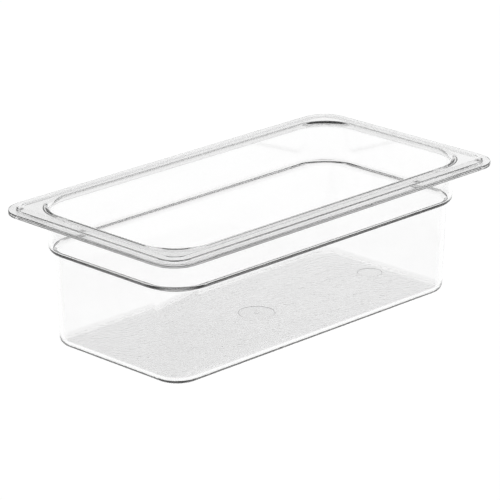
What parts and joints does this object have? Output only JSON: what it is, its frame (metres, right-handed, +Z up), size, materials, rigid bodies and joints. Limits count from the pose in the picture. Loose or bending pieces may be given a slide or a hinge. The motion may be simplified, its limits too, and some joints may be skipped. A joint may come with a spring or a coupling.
{
  "type": "food pan",
  "caption": "Clear rectangular food pan with a stepped rim that hangs in a well, a stacking shoulder and tapered lower walls.",
  "frame": {"origin": "middle of the underside of the base", "axes": "+X along the length, +Y along the width, +Z up through the opening"},
  "size_m": [0.325, 0.176, 0.1],
  "materials": {
    "clear_polycarbonate": "clear, polished walls, a finely textured base"
  },
  "bodies": {
    "root": {"pan": "clear_polycarbonate"}
  },
  "joints": []
}
